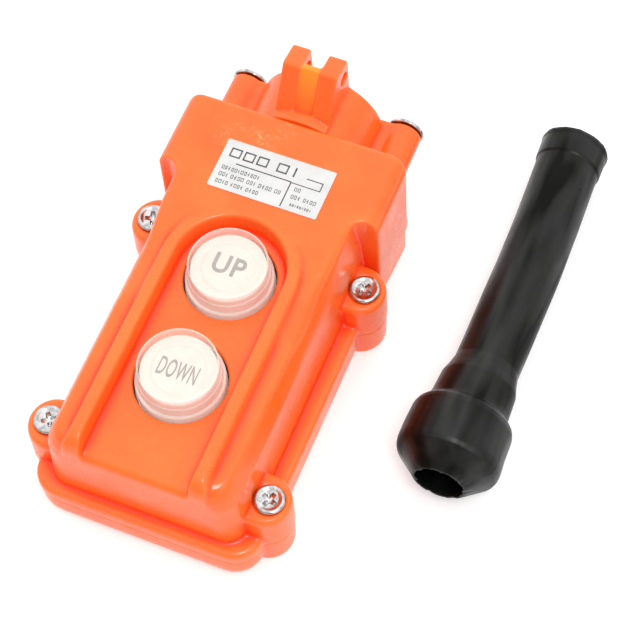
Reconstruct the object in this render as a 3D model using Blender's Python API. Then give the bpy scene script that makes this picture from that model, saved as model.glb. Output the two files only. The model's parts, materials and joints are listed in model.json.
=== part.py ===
"""Pendant control station: a two-button hoist pendant lying on its back, with its cable boot beside it.

Metres, +Z up. The origin is the centre of the flat rear face. +Z is the way the buttons face, and +Y
runs up the station, towards the cable neck and the hanging lugs.
"""
import math

import bmesh
import bpy
from mathutils import Matrix, Vector

MM = 0.001
GAP = 0.3 * MM  # kept between pieces that touch

# Case: two shells that meet at a seam, wider at the head than at the grip
SEAM_Z = 13.0 * MM
CASE_HALF_WIDTH = 34.4 * MM
CASE_BOTTOM_Y = -59.2 * MM
CASE_TOP_Y = 61.1 * MM
CASE_CORNER = 8.6 * MM
FLANGE_Z = 18.0 * MM
HEAD_Z = 48.3 * MM
HEAD_LOWER_Y = 37.6 * MM
HEAD_EDGE = 5.5 * MM
SHOULDER_Z = 45.0 * MM
GRIP_END_Y = -55.6 * MM
GRIP_CORNER = 6.5 * MM
# The grip's half-width and its lower end at each height, from the flange to the shoulder
GRIP_LEVELS = [
    (11.0 * MM, 29.8 * MM, GRIP_END_Y),
    (20.0 * MM, 29.6 * MM, GRIP_END_Y),
    (37.5 * MM, 28.5 * MM, GRIP_END_Y + 0.1 * MM),
    (40.5 * MM, 27.5 * MM, GRIP_END_Y + 0.4 * MM),
    (43.0 * MM, 26.4 * MM, GRIP_END_Y + 1.3 * MM),
    (44.4 * MM, 25.6 * MM, GRIP_END_Y + 2.6 * MM),
    (SHOULDER_Z, 25.0 * MM, GRIP_END_Y + 4.2 * MM),
]
REAR_STRAIGHT_Z = 8.0 * MM  # below this the rear shell curves in to its flat rear face
REAR_INSET = 7.0 * MM

# Recess for the buttons, between two rails that join in an arch over the upper button
RECESS_Z = 41.6 * MM
FLOOR_UNDERSIDE_Z = 39.1 * MM
RECESS_HALF_WIDTH = 15.9 * MM
RECESS_MOUTH = 16.5 * MM
RAIL_FOOT = 21.2 * MM
RAIL_TOP = 19.95 * MM
RAIL_END_ROUND = 6.0 * MM
# The shoulder climbs to the face of the head: distance up the case, top half-width and height
BROW_LEVELS = [
    (0.0 * MM, 24.6 * MM, SHOULDER_Z - 1.0 * MM),
    (4.0 * MM, 24.9 * MM, SHOULDER_Z),
    (10.0 * MM, 25.3 * MM, 45.8 * MM),
    (18.0 * MM, 26.1 * MM, 47.4 * MM),
    (25.0 * MM, 26.9 * MM, HEAD_Z),
    (39.0 * MM, 26.9 * MM, HEAD_Z),
]
BROW_FOOT = (28.3 * MM, 38.0 * MM)

# Ears and case screws: each ear is a tab with a round end
EAR_ROOT_X = 27.8 * MM
EAR_ROUND_X = 31.8 * MM
EAR_YS = (27.8 * MM, -42.6 * MM)
EAR_RADIUS = 8.1 * MM
SCREW_X = 33.5 * MM
EAR_Z = 27.0 * MM
EAR_REAR_Z = 0.6 * MM
SCREW_HEAD_TOP_Z = 28.0 * MM
CASE_SCREW_HEAD = 4.5 * MM
CASE_SCREW_SHANK = 1.9 * MM
CASE_SCREW_TIP_Z = 4.5 * MM
SPOT_FACE_DEPTH = 0.7 * MM

# Gland head: the round neck, the lugs that the hanging wire pins to with a thin wall between them,
# and two long screw posts
NECK_Z = 29.0 * MM
NECK_RADIUS = 18.7 * MM
NECK_RIM = 19.0 * MM
NECK_END_Y = 80.0 * MM
NECK_BORE = 15.8 * MM
NECK_LIP = 13.3 * MM
NECK_LIP_Y = 78.0 * MM
CABLE_HOLE = 14.5 * MM
POST_X = 25.2 * MM
POST_Z = 27.9 * MM
POST_RADIUS = 5.2 * MM
POST_END_Y = 81.5 * MM
POST_SCREW_HEAD = 5.6 * MM
POST_SCREW_SHANK = 1.9 * MM
POST_SCREW_TIP_Y = 48.0 * MM
LUG_INNER_X = 2.9 * MM
LUG_OUTER_X = 8.4 * MM
LUG_HOLE_Y = 76.4 * MM
LUG_HOLE_Z = 54.1 * MM
LUG_HOLE = 2.2 * MM
LUG_WALL_RECESS = 0.7 * MM
LUG_WALL_THICKNESS = 2.0 * MM
SHELF_END_Y = 64.6 * MM
SHELF_RADIUS = 19.9 * MM

# Rating label
LABEL_X = 0.3 * MM
LABEL_Y = 41.1 * MM
LABEL_SIZE = (33.5 * MM, 16.5 * MM)
LABEL_THICKNESS = 0.2 * MM
LABEL_GLUE = 0.05 * MM

# Buttons
BUTTON_YS = {"up": 10.4 * MM, "down": -23.8 * MM}
BUTTON_HOLE = 13.3 * MM
BUTTON_TRAVEL = 3.5 * MM
CAP_TOP_Z = 50.4 * MM
CAP_SKIRT_Z = 37.9 * MM
CAP_STEP_Z = 42.3 * MM
CAP_FOOT = 12.7 * MM
CAP_NECK = 11.9 * MM
CAP_TOP = 11.4 * MM
CAP_BORE = 10.9 * MM
DISC_RADIUS = 10.6 * MM
DISC_TOP_Z = 47.3 * MM
DISC_THICKNESS = 0.8 * MM
PLUNGER_RADIUS = 9.6 * MM
PLUNGER_FLANGE = 14.5 * MM
PLUNGER_FLANGE_Z = (36.2 * MM, 37.6 * MM)
PLUNGER_STEM = 2.6 * MM
SEAL_Z = (37.9 * MM, 38.8 * MM)
SEAL_BORE = 13.0 * MM

# Switch under each button
BLOCK_Z = (5.3 * MM, 22.6 * MM)
BLOCK_SHELF_Z = 12.0 * MM
BLOCK_HALF_X = 13.4 * MM
SHELF_HALF_X = 20.0 * MM
BLOCK_HALF_Y = 13.2 * MM
BRIDGE_SLOT_HALF_Y = 3.6 * MM
BRIDGE_SLOT_HALF_X = 9.6 * MM
BRIDGE_Z = (18.1 * MM, 18.9 * MM)
TIP_X = 7.2 * MM
TERMINAL_Z = (12.3 * MM, 13.3 * MM)
FIXED_TIP_Z = 13.75 * MM
TERMINAL_SCREW_X = 16.4 * MM
BLOCK_SCREW_Y = 9.6 * MM
SPRING_RADIUS = 6.0 * MM
SPRING_WIRE = 0.45 * MM
SPRING_TURNS = 5

# Gasket in the seam
GASKET_INSET = 4.6 * MM
GASKET_WIDTH = 1.5 * MM
GASKET_Z = (11.3 * MM, 12.8 * MM)

# Cable boot: a rubber sleeve that lies beside the station. Distance along it, outer radius.
BOOT_PROFILE = [
    (0.0 * MM, 7.9 * MM),
    (6.2 * MM, 14.6 * MM),
    (7.5 * MM, 15.2 * MM),
    (9.0 * MM, 15.4 * MM),
    (19.8 * MM, 15.0 * MM),
    (21.4 * MM, 14.5 * MM),
    (22.8 * MM, 13.3 * MM),
    (23.8 * MM, 12.1 * MM),
    (25.5 * MM, 11.8 * MM),
    (33.0 * MM, 11.4 * MM),
    (36.0 * MM, 10.5 * MM),
    (39.5 * MM, 9.7 * MM),
    (75.0 * MM, 9.7 * MM),
    (113.4 * MM, 9.65 * MM),
    (114.0 * MM, 10.1 * MM),
    (120.4 * MM, 10.2 * MM),
    (121.0 * MM, 10.5 * MM),
    (122.2 * MM, 10.4 * MM),
]
BOOT_BULB = 3  # which of these is the widest
# How far the rubber wanders to the side of a straight line, at each distance along it
BOOT_BEND = [
    (0.0 * MM, 0.0 * MM),
    (14.0 * MM, -0.5 * MM),
    (30.0 * MM, -0.1 * MM),
    (48.0 * MM, 0.2 * MM),
    (75.0 * MM, 0.5 * MM),
    (94.0 * MM, 0.3 * MM),
    (112.0 * MM, -0.3 * MM),
    (124.0 * MM, -0.4 * MM),
]
BOOT_BORE = 7.3 * MM
BOOT_WAIST = (9.5 * MM, 22.0 * MM)  # the stretch where the bulb is hollow behind its mouth
BOOT_BULB_BORE = 10.5 * MM
BOOT_MOUTH = (73.15 * MM, -16.5 * MM)  # where the open cone end is, on the floor plan
BOOT_HEADING = -0.53  # degrees that it turns from straight up the case
BOOT_LENGTH = BOOT_PROFILE[-1][0]


def clear_scene():
    for obj in list(bpy.data.objects):
        bpy.data.objects.remove(obj, do_unlink=True)


def make_material(name, colour, roughness, metallic=0.0, transmission=0.0):
    made = bpy.data.materials.new(name)
    made.use_nodes = True
    shader = made.node_tree.nodes["Principled BSDF"]
    shader.inputs["Base Color"].default_value = (*colour, 1.0)
    shader.inputs["Roughness"].default_value = roughness
    shader.inputs["Metallic"].default_value = metallic
    shader.inputs["Transmission Weight"].default_value = transmission
    made.diffuse_color = (*colour, 1.0)
    return made


# Outlines and solids

def arc(centre, radius, start, end, steps):
    """Points along a circle in a plane, from one angle in degrees to another."""
    points = []
    for step in range(steps + 1):
        angle = math.radians(start + (end - start) * step / steps)
        points.append((centre[0] + radius * math.cos(angle), centre[1] + radius * math.sin(angle)))
    return points


def rounded(corners, steps=6):
    """An outline from (x, y, radius) corners, each rounded by its radius."""
    points = []
    for index, (x, y, radius) in enumerate(corners):
        corner = Vector((x, y))
        if radius == 0:
            points.append((x, y))
            continue
        back = (Vector(corners[index - 1][:2]) - corner).normalized()
        ahead = (Vector(corners[(index + 1) % len(corners)][:2]) - corner).normalized()
        half = back.angle(ahead) / 2
        centre = corner + (back + ahead).normalized() * radius / math.sin(half)
        start = corner + back * radius / math.tan(half) - centre
        end = corner + ahead * radius / math.tan(half) - centre
        turn = math.atan2(start.x * end.y - start.y * end.x, start.dot(end))
        for step in range(steps + 1):
            angle = turn * step / steps
            points.append((
                centre.x + start.x * math.cos(angle) - start.y * math.sin(angle),
                centre.y + start.x * math.sin(angle) + start.y * math.cos(angle),
            ))
    return points


def rectangle(half_x, low_y, high_y, low_corner=0.0, high_corner=0.0, steps=6):
    """A rectangle centred on x = 0, with its own corner radius at each end."""
    return rounded([
        (half_x, low_y, low_corner),
        (half_x, high_y, high_corner),
        (-half_x, high_y, high_corner),
        (-half_x, low_y, low_corner),
    ], steps)


def circle(radius, sides=32, centre=(0.0, 0.0)):
    return arc(centre, radius, 0, 360, sides)[:-1]


def placed(point, height, along):
    """A plane point and a height as a position, for a solid that runs along X, Y or Z."""
    if along == "X":
        return (height, point[0], point[1])
    if along == "Y":
        return (point[0], height, point[1])
    return (point[0], point[1], height)


def loft(levels, along="Z"):
    """A closed solid through outlines of equal length, each (height, outline)."""
    mesh = bmesh.new()
    rings = []
    for height, outline in levels:
        rings.append([mesh.verts.new(placed(point, height, along)) for point in outline])
    for low, high in zip(rings, rings[1:]):
        for index in range(len(low)):
            after = (index + 1) % len(low)
            mesh.faces.new((low[index], low[after], high[after], high[index]))
    mesh.faces.new(rings[0])
    mesh.faces.new(rings[-1])
    bmesh.ops.recalc_face_normals(mesh, faces=mesh.faces)
    return mesh


def prism(outline, low, high, along="Z"):
    return loft([(low, outline), (high, outline)], along)


def box(low, high):
    outline = [(low[0], low[1]), (high[0], low[1]), (high[0], high[1]), (low[0], high[1])]
    return prism(outline, low[2], high[2])


def turned(profile, sides=32, ring=False):
    """A solid turned about Z from (radius, height) points; a ring's profile is closed on itself."""
    mesh = bmesh.new()
    verts = [mesh.verts.new((radius, 0.0, height)) for radius, height in profile]
    edges = [mesh.edges.new(pair) for pair in zip(verts, verts[1:])]
    if ring:
        edges.append(mesh.edges.new((verts[-1], verts[0])))
    bmesh.ops.spin(
        mesh, geom=verts + edges, cent=(0, 0, 0), axis=(0, 0, 1), angle=math.tau, steps=sides
    )
    bmesh.ops.remove_doubles(mesh, verts=mesh.verts, dist=1e-6)
    bmesh.ops.recalc_face_normals(mesh, faces=mesh.faces)
    return mesh


def moved(mesh, offset=(0.0, 0.0, 0.0), along="Z"):
    """The solid with its own +Z turned to X or Y, then moved."""
    turn = Matrix.Identity(4)
    if along == "X":
        turn = Matrix.Rotation(math.radians(90), 4, "Y")
    if along == "Y":
        turn = Matrix.Rotation(math.radians(-90), 4, "X")
    bmesh.ops.transform(mesh, matrix=Matrix.Translation(offset) @ turn, verts=mesh.verts)
    return mesh


def make_object(name, mesh, material=None):
    data = bpy.data.meshes.new(name)
    mesh.to_mesh(data)
    mesh.free()
    if material:
        data.materials.append(material)
    data.shade_smooth()
    data.set_sharp_from_angle(angle=math.radians(35))
    obj = bpy.data.objects.new(name, data)
    bpy.context.scene.collection.objects.link(obj)
    return obj


def combine(target, operation, mesh, name):
    """Adds, cuts or keeps a helper solid's shape on the target."""
    helper = make_object(f"{target.name}.{name}", mesh)
    helper.hide_render = True
    helper.display_type = "WIRE"
    modifier = target.modifiers.new(name, "BOOLEAN")
    modifier.operation = operation
    modifier.object = helper
    modifier.solver = "EXACT"
    return helper


def add(target, mesh, name):
    return combine(target, "UNION", mesh, name)


def cut(target, mesh, name):
    return combine(target, "DIFFERENCE", mesh, name)


def keep(target, mesh, name):
    return combine(target, "INTERSECT", mesh, name)


def ear_places():
    """Each ear's name and the place of its screw on the plan."""
    places = []
    for end, y in zip(("upper", "lower"), EAR_YS):
        for side, x in (("left", -SCREW_X), ("right", SCREW_X)):
            places.append((f"{end}_{side}", x, y))
    return places


# Case shells

def arch_outline(half_width, low_y):
    """Straight sides up to the upper button, closed by a half circle around it."""
    points = [(-half_width, low_y), (half_width, low_y)]
    return points + arc((0.0, BUTTON_YS["up"]), half_width, 0, 180, 32)


def front_flange():
    levels = []
    for z, inset in ((11.0 * MM, 0.0), (16.6 * MM, 0.0), (17.6 * MM, 0.4 * MM), (FLANGE_Z, 1.4 * MM)):
        levels.append((z, rectangle(
            CASE_HALF_WIDTH - inset, CASE_BOTTOM_Y + inset, CASE_TOP_Y, CASE_CORNER - inset, 1.5 * MM
        )))
    return loft(levels)


def ear_outline(x, y, radius):
    """A tab from inside the case wall out to a round end."""
    side = math.copysign(1.0, x)
    points = [(side * EAR_ROOT_X, y - radius)]
    points += [(side * px, py) for px, py in arc((EAR_ROUND_X, y), radius, -90, 90, 20)]
    return points + [(side * EAR_ROOT_X, y + radius)]


def front_ear(x, y):
    return loft([
        (z, ear_outline(x, y, EAR_RADIUS - inset))
        for z, inset in (
            (11.0 * MM, 0.0),
            (EAR_Z - 1.6 * MM, 0.15 * MM),
            (EAR_Z - 0.7 * MM, 0.5 * MM),
            (EAR_Z - 0.15 * MM, 1.1 * MM),
            (EAR_Z, 1.7 * MM),
        )
    ])


def rear_ear(x, y):
    return loft([
        (z, ear_outline(x, y, EAR_RADIUS - inset))
        for z, inset in (
            (EAR_REAR_Z, 1.9 * MM),
            (EAR_REAR_Z + 0.4 * MM, 1.0 * MM),
            (EAR_REAR_Z + 1.6 * MM, 0.5 * MM),
            (15.0 * MM, 0.2 * MM),
        )
    ])


def head_block():
    """The head seen from the end: upright sides under rounded long edges."""
    foot = CASE_HALF_WIDTH + 0.1 * MM
    half = CASE_HALF_WIDTH - 0.2 * MM
    edge = HEAD_EDGE
    section = [(-foot, 11.0 * MM), (foot, 11.0 * MM)]
    section += arc((half - edge, HEAD_Z - edge), edge, 0, 90, 10)
    section += arc((edge - half, HEAD_Z - edge), edge, 90, 180, 10)
    return prism(section, 27.0 * MM, CASE_TOP_Y, "Y")


def head_plan():
    """The head seen from the front, with a rounded nook beside the grip for each upper ear."""
    side = [
        (30.0 * MM, CASE_TOP_Y + 1 * MM, 0),
        (CASE_HALF_WIDTH + 0.2 * MM, CASE_TOP_Y - 1.6 * MM, 1.5 * MM),
        (CASE_HALF_WIDTH + 0.2 * MM, HEAD_LOWER_Y, 0.6 * MM),
        (27.0 * MM, HEAD_LOWER_Y, 4.6 * MM),
        (26.6 * MM, 29.0 * MM, 0),
        (20.0 * MM, 26.0 * MM, 0),
    ]
    corners = side + [(-x, y, radius) for x, y, radius in reversed(side)]
    return prism(rounded(corners), 10.0 * MM, HEAD_Z + 2 * MM)


def brow():
    """The ramp that carries the face of the head down to the shoulders."""
    foot_x, foot_z = BROW_FOOT
    return loft([
        (y, [(-foot_x, foot_z), (foot_x, foot_z), (half, top), (-half, top)])
        for y, half, top in BROW_LEVELS
    ], "Y")


def rail_block():
    low = GRIP_END_Y
    return loft([
        (SHOULDER_Z - 6 * MM, arch_outline(RAIL_FOOT, low)),
        (SHOULDER_Z, arch_outline(RAIL_FOOT, low)),
        (HEAD_Z - 0.5 * MM, arch_outline(RAIL_TOP + 0.1 * MM, low)),
        (HEAD_Z, arch_outline(RAIL_TOP - 0.5 * MM, low)),
    ])


def rail_end_waste():
    """What is cut from the rails' lower ends to round them."""
    end = GRIP_END_Y
    outline = [(end - 3 * MM, HEAD_Z - RAIL_END_ROUND), (end - 3 * MM, HEAD_Z + 3 * MM)]
    outline += [(end + RAIL_END_ROUND, HEAD_Z + 3 * MM)]
    round_centre = (end + RAIL_END_ROUND, HEAD_Z - RAIL_END_ROUND)
    outline += arc(round_centre, RAIL_END_ROUND, 90, 180, 6)
    return prism(outline, -24.0 * MM, 24.0 * MM, "X")


def recess_waste():
    low = GRIP_END_Y - 5 * MM
    return loft([
        (RECESS_Z, arch_outline(RECESS_HALF_WIDTH, low)),
        (HEAD_Z - 0.8 * MM, arch_outline(RECESS_MOUTH - 0.1 * MM, low)),
        (HEAD_Z, arch_outline(RECESS_MOUTH + 0.4 * MM, low)),
        (HEAD_Z + 2 * MM, arch_outline(RECESS_MOUTH + 0.4 * MM, low)),
    ])


def recess_lip_waste():
    """Rounds the edge where the recess floor runs out over the lower end wall."""
    lip = 3.1 * MM
    end = GRIP_END_Y
    outline = [(end - 3 * MM, RECESS_Z - lip), (end - 3 * MM, RECESS_Z + 1 * MM)]
    outline += [(end + lip, RECESS_Z + 1 * MM)]
    outline += arc((end + lip, RECESS_Z - lip), lip, 90, 180, 5)
    return prism(outline, -RECESS_HALF_WIDTH, RECESS_HALF_WIDTH, "X")


def front_cavity():
    """The room inside the grip, under the recess floor."""
    return loft([
        (10.0 * MM, rectangle(27.2 * MM, -52.6 * MM, 50.0 * MM, 4 * MM, 4 * MM, 4)),
        (20.0 * MM, rectangle(27.0 * MM, -52.6 * MM, 50.0 * MM, 4 * MM, 4 * MM, 4)),
        (35.0 * MM, rectangle(25.8 * MM, -52.2 * MM, 50.0 * MM, 4 * MM, 4 * MM, 4)),
        (FLOOR_UNDERSIDE_Z, rectangle(24.5 * MM, -50.8 * MM, 50.0 * MM, 4 * MM, 4 * MM, 4)),
    ])


def head_cavity():
    section = [
        (-27.2 * MM, 10.0 * MM),
        (27.2 * MM, 10.0 * MM),
        (27.2 * MM, 16.0 * MM),
        (31.5 * MM, 20.0 * MM),
        (31.5 * MM, 42.0 * MM),
        (28.5 * MM, 45.0 * MM),
        (-28.5 * MM, 45.0 * MM),
        (-31.5 * MM, 42.0 * MM),
        (-31.5 * MM, 20.0 * MM),
        (-27.2 * MM, 16.0 * MM),
    ]
    return prism(section, HEAD_LOWER_Y + 3 * MM, CASE_TOP_Y - 3.2 * MM, "Y")


def rail_cavity(side):
    """A slot up inside each rail, which keeps the wall even."""
    outline = [
        (side * 18.2 * MM, 30.0 * MM),
        (side * 24.0 * MM, 30.0 * MM),
        (side * 23.0 * MM, 42.4 * MM),
        (side * 18.2 * MM, 44.6 * MM),
    ]
    return prism(outline, -48.0 * MM, HEAD_LOWER_Y + 4 * MM, "Y")


def front_cover(material):
    obj = make_object("front_cover", front_flange(), material)
    add(obj, loft([
        (z, rectangle(half, low, HEAD_LOWER_Y + 1 * MM, GRIP_CORNER, 0.0))
        for z, half, low in GRIP_LEVELS
    ]), "grip")
    add(obj, rail_block(), "rails")
    cut(obj, rail_end_waste(), "rail_ends")
    add(obj, brow(), "brow")
    head = add(obj, head_block(), "head")
    keep(head, head_plan(), "plan")
    for name, x, y in ear_places():
        add(obj, front_ear(x, y), f"ear_{name}")
    cut(obj, recess_waste(), "recess")
    cut(obj, recess_lip_waste(), "recess_lip")
    cut(obj, front_cavity(), "cavity")
    cut(obj, head_cavity(), "head_cavity")
    cut(obj, rail_cavity(-1), "rail_cavity_left")
    cut(obj, rail_cavity(1), "rail_cavity_right")
    for side in (-1, 1):
        boss = prism(circle(4.6 * MM, 20, (side * POST_X, POST_Z)), 44.0 * MM, CASE_TOP_Y - 1 * MM, "Y")
        add(obj, boss, f"boss_{side}")
        hole = circle(POST_SCREW_SHANK + GAP, 16, (side * POST_X, POST_Z))
        cut(obj, prism(hole, POST_SCREW_TIP_Y - 1 * MM, CASE_TOP_Y + 2 * MM, "Y"), f"thread_{side}")
    wall = circle(CABLE_HOLE, 32, (0.0, NECK_Z))
    cut(obj, prism(wall, CASE_TOP_Y - 8 * MM, CASE_TOP_Y + 2 * MM, "Y"), "cable_hole")
    for name, y in BUTTON_YS.items():
        hole = prism(circle(BUTTON_HOLE, 56, (0.0, y)), FLOOR_UNDERSIDE_Z - 5 * MM, RECESS_Z + 2 * MM)
        cut(obj, hole, f"button_hole_{name}")
    for name, x, y in ear_places():
        screw_hole = turned([
            (0.0, 8.0 * MM),
            (CASE_SCREW_SHANK + GAP, 8.0 * MM),
            (CASE_SCREW_SHANK + GAP, EAR_Z - SPOT_FACE_DEPTH),
            (CASE_SCREW_HEAD + GAP, EAR_Z - SPOT_FACE_DEPTH),
            (CASE_SCREW_HEAD + GAP, EAR_Z + 4 * MM),
            (0.0, EAR_Z + 4 * MM),
        ], 20)
        cut(obj, moved(screw_hole, (x, y, 0)), f"screw_hole_{name}")
    label_bed = box(
        (LABEL_X - LABEL_SIZE[0] / 2 + 1 * MM, LABEL_Y - LABEL_SIZE[1] / 2 + 1 * MM, HEAD_Z - GAP),
        (LABEL_X + LABEL_SIZE[0] / 2 - 1 * MM, LABEL_Y + LABEL_SIZE[1] / 2 - 1 * MM, HEAD_Z + 1 * MM),
    )
    cut(obj, label_bed, "label_bed")
    cut(obj, box((-0.1, -0.1, 0.0), (0.1, 0.1, SEAM_Z + GAP / 2)), "seam")


def rear_levels():
    """The rear shell's outline at each height, curving in to the flat rear face."""
    levels = [(15.0 * MM, 0.0), (REAR_STRAIGHT_Z, 0.0)]
    for step in range(1, 6):
        angle = math.radians(90 * step / 5)
        levels.append((REAR_STRAIGHT_Z * (1 - math.sin(angle)), REAR_INSET * (1 - math.cos(angle))))
    return levels


def rear_heel():
    """The squarer top end of the rear shell, under the head."""
    levels = []
    for y, corner, inset in (
        (34.0 * MM, 7.6 * MM, 0.5 * MM),
        (46.0 * MM, 5.6 * MM, 0.0),
        (CASE_TOP_Y - 2.6 * MM, 3.0 * MM, 0.0),
        (CASE_TOP_Y - 1.1 * MM, 3.0 * MM, 0.6 * MM),
        (CASE_TOP_Y - 0.5 * MM, 3.0 * MM, 1.8 * MM),
    ):
        half = CASE_HALF_WIDTH - 0.3 * MM - inset
        levels.append((y, rounded([
            (-half, 15.0 * MM, 0),
            (-half, inset, corner),
            (half, inset, corner),
            (half, 15.0 * MM, 0),
        ], 5)))
    return loft(levels, "Y")


def rear_cover(material):
    solid = loft([
        (z, rectangle(
            CASE_HALF_WIDTH - 0.3 * MM - inset, CASE_BOTTOM_Y + 0.2 * MM + inset, CASE_TOP_Y - 0.5 * MM - inset,
            CASE_CORNER - inset / 2, CASE_CORNER - inset / 2,
        ))
        for z, inset in rear_levels()
    ])
    obj = make_object("rear_cover", solid, material)
    add(obj, rear_heel(), "heel")
    for name, x, y in ear_places():
        add(obj, rear_ear(x, y), f"ear_{name}")
    cut(obj, loft([
        (2.5 * MM, rectangle(24.5 * MM, -50.0 * MM, 51.0 * MM, 4 * MM, 4 * MM, 4)),
        (6.0 * MM, rectangle(27.2 * MM, -52.6 * MM, 54.0 * MM, 4 * MM, 4 * MM, 4)),
        (16.0 * MM, rectangle(27.2 * MM, -52.6 * MM, 54.0 * MM, 4 * MM, 4 * MM, 4)),
    ]), "cavity")
    for name, y in BUTTON_YS.items():
        for end in (-1, 1):
            post_y = y + end * BLOCK_SCREW_Y
            post = prism(circle(3.4 * MM, 16, (0.0, post_y)), 1.5 * MM, BLOCK_Z[0] - GAP)
            add(obj, post, f"post_{name}_{end}")
            hole = prism(circle(1.3 * MM + GAP, 12, (0.0, post_y)), 1.4 * MM, BLOCK_Z[0] + 1 * MM)
            cut(obj, hole, f"post_hole_{name}_{end}")
    groove_z = GASKET_Z[0] - GAP
    outer = gasket_outline(GASKET_INSET - GAP)
    inner = gasket_outline(GASKET_INSET + GASKET_WIDTH + GAP)
    cut(obj, ring_solid(outer, inner, groove_z, 16.0 * MM), "gasket_groove")
    for name, x, y in ear_places():
        hole = prism(circle(CASE_SCREW_SHANK + GAP, 20, (x, y)), CASE_SCREW_TIP_Z - 1 * MM, 16.0 * MM)
        cut(obj, hole, f"screw_hole_{name}")
    cut(obj, box((-0.1, -0.1, SEAM_Z - GAP / 2), (0.1, 0.1, 0.03)), "seam")


def gasket_outline(inset):
    return rectangle(
        CASE_HALF_WIDTH - inset, CASE_BOTTOM_Y + inset, CASE_TOP_Y - inset,
        CASE_CORNER - inset / 2, CASE_CORNER - inset / 2,
    )


def ring_solid(outer, inner, low, high):
    """A closed band between two outlines of equal length."""
    mesh = bmesh.new()
    loops = []
    for outline, height in ((outer, low), (outer, high), (inner, high), (inner, low)):
        loops.append([mesh.verts.new((x, y, height)) for x, y in outline])
    for first, second in zip(loops, loops[1:] + loops[:1]):
        for index in range(len(first)):
            after = (index + 1) % len(first)
            mesh.faces.new((first[index], first[after], second[after], second[index]))
    bmesh.ops.recalc_face_normals(mesh, faces=mesh.faces)
    return mesh


def case_gasket(material):
    outer = gasket_outline(GASKET_INSET)
    inner = gasket_outline(GASKET_INSET + GASKET_WIDTH)
    make_object("case_gasket", ring_solid(outer, inner, *GASKET_Z), material)


# Gland head

def lug_outline():
    """A lug from the side: steep front, sloping top, short back."""
    return rounded([
        (62.4 * MM, 40.0 * MM, 0),
        (62.4 * MM, 44.5 * MM, 0),
        (64.0 * MM, 47.6 * MM, 0),
        (71.6 * MM, 61.1 * MM, 1.6 * MM),
        (79.7 * MM, 59.5 * MM, 1.2 * MM),
        (80.1 * MM, 54.0 * MM, 0),
        (NECK_END_Y, 40.0 * MM, 0),
    ], 4)


def lug_wall_outline():
    """The thin wall that joins the two lugs, from the side: it leans back just behind their steep fronts."""
    front = 64.0 * MM + LUG_WALL_RECESS
    back = front + LUG_WALL_THICKNESS
    return [
        (front, 46.0 * MM),
        (front, 47.6 * MM),
        (front + 7.3 * MM, 60.6 * MM),
        (back + 7.2 * MM, 60.3 * MM),
        (back, 47.6 * MM),
        (back, 46.0 * MM),
    ]


def gland_head(material):
    start = CASE_TOP_Y + GAP
    neck = loft([
        (start, circle(NECK_RADIUS, 80, (0.0, NECK_Z))),
        (NECK_END_Y - 0.5 * MM, circle(NECK_RIM, 80, (0.0, NECK_Z))),
        (NECK_END_Y, circle(NECK_RIM - 0.5 * MM, 80, (0.0, NECK_Z))),
    ], "Y")
    obj = make_object("gland_head", neck, material)
    for side in (-1, 1):
        centre = (side * POST_X, POST_Z)
        post = loft([
            (start, circle(POST_RADIUS + 0.1 * MM, 40, centre)),
            (POST_END_Y - 0.4 * MM, circle(POST_RADIUS, 40, centre)),
            (POST_END_Y, circle(POST_RADIUS - 0.4 * MM, 40, centre)),
        ], "Y")
        add(obj, post, f"post_{side}")
        web = [
            (side * 17.4 * MM, POST_Z - 4.6 * MM),
            (side * POST_X, POST_Z - 4.6 * MM),
            (side * POST_X, POST_Z + 4.1 * MM),
            (side * 17.4 * MM, POST_Z + 4.1 * MM),
        ]
        add(obj, prism(web, start, POST_END_Y - 0.3 * MM, "Y"), f"web_{side}")
    shelf = [(-LUG_OUTER_X, 35.0 * MM), (LUG_OUTER_X, 35.0 * MM)]
    half_angle = math.degrees(math.asin(LUG_OUTER_X / SHELF_RADIUS))
    shelf += arc((0.0, NECK_Z), SHELF_RADIUS, 90 - half_angle, 90 + half_angle, 6)
    add(obj, prism(shelf, start, SHELF_END_Y, "Y"), "shelf")
    for side in (-1, 1):
        lug = prism(lug_outline(), side * LUG_INNER_X, side * LUG_OUTER_X, "X")
        add(obj, lug, f"lug_{side}")
    wall_end = LUG_INNER_X + 0.5 * MM
    add(obj, prism(lug_wall_outline(), -wall_end, wall_end, "X"), "lug_wall")
    hole = prism(circle(LUG_HOLE, 20, (LUG_HOLE_Y, LUG_HOLE_Z)), -12.0 * MM, 12.0 * MM, "X")
    cut(obj, hole, "lug_holes")
    bore = loft([
        (start - 2 * MM, circle(NECK_BORE, 40, (0.0, NECK_Z))),
        (NECK_LIP_Y - 2 * MM, circle(NECK_BORE, 40, (0.0, NECK_Z))),
        (NECK_LIP_Y, circle(NECK_LIP, 40, (0.0, NECK_Z))),
        (NECK_END_Y + 2 * MM, circle(NECK_LIP, 40, (0.0, NECK_Z))),
    ], "Y")
    cut(obj, bore, "bore")
    for side in (-1, 1):
        screw_hole = circle(POST_SCREW_SHANK + GAP, 20, (side * POST_X, POST_Z))
        cut(obj, prism(screw_hole, start - 2 * MM, POST_END_Y + 2 * MM, "Y"), f"screw_hole_{side}")


# Fasteners

def cross_recess(half_length, half_width, depth, top):
    """The cross that a driver fits, tapering to its floor."""
    levels = []
    for height, scale in ((top - depth, 0.62), (top + 0.3 * MM, 1.0)):
        long = half_length * scale
        short = half_width * scale
        levels.append((height, [
            (long, -short), (long, short), (short, short), (short, long),
            (-short, long), (-short, short), (-long, short), (-long, -short),
            (-short, -short), (-short, -long), (short, -long), (short, -short),
        ]))
    return loft(levels)


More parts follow.
